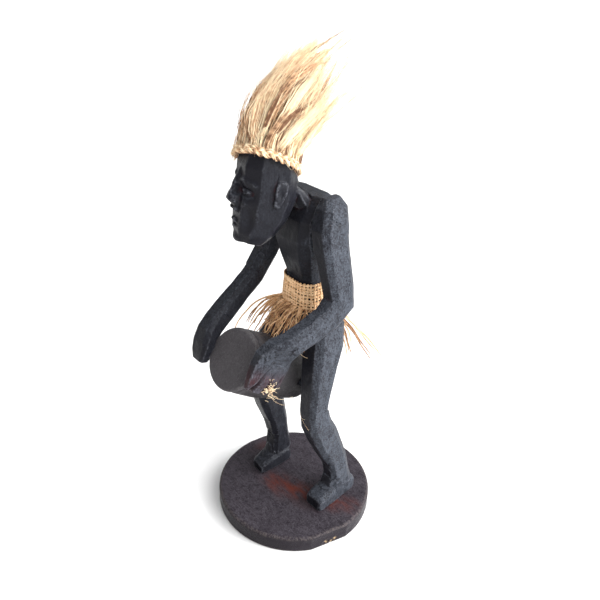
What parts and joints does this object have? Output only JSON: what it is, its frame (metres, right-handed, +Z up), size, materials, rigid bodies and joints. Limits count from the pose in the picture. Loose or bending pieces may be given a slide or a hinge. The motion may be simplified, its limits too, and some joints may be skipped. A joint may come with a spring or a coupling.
{
  "type": "carved ancestor figure",
  "caption": "Black-stained carved wooden figure of a standing drummer on a round base, with upswept jute hair, a plaited head band and a woven jute hip cloth.",
  "frame": {"origin": "centre of the round base's underside", "axes": "+Z up; the figure faces -Y and its left side is +X"},
  "size_m": [0.104, 0.1127, 0.2991],
  "materials": {
    "stained_wood": "black stain, dusty satin",
    "base_wood": "black-brown stain, rubbed through",
    "drum_wood": "black stain, matte",
    "beech": "bare turned dowel",
    "steel": "zinc plated",
    "hair_jute": "combed-out pale jute fibre",
    "band_jute": "plaited jute yarn",
    "jute_cloth": "open plain-weave jute"
  },
  "bodies": {
    "root": {"base_slab": "base_wood", "base_screws": "steel", "body_block": "stained_wood", "left_arm": "stained_wood", "right_arm": "stained_wood", "shoulder_dowels": "beech", "drum": "drum_wood", "drum_pegs": "beech", "hand_pins": "steel", "hair_tuft": "hair_jute", "hair_band": "band_jute", "hip_cloth": "jute_cloth", "cloth_tack": "steel"}
  },
  "joints": []
}
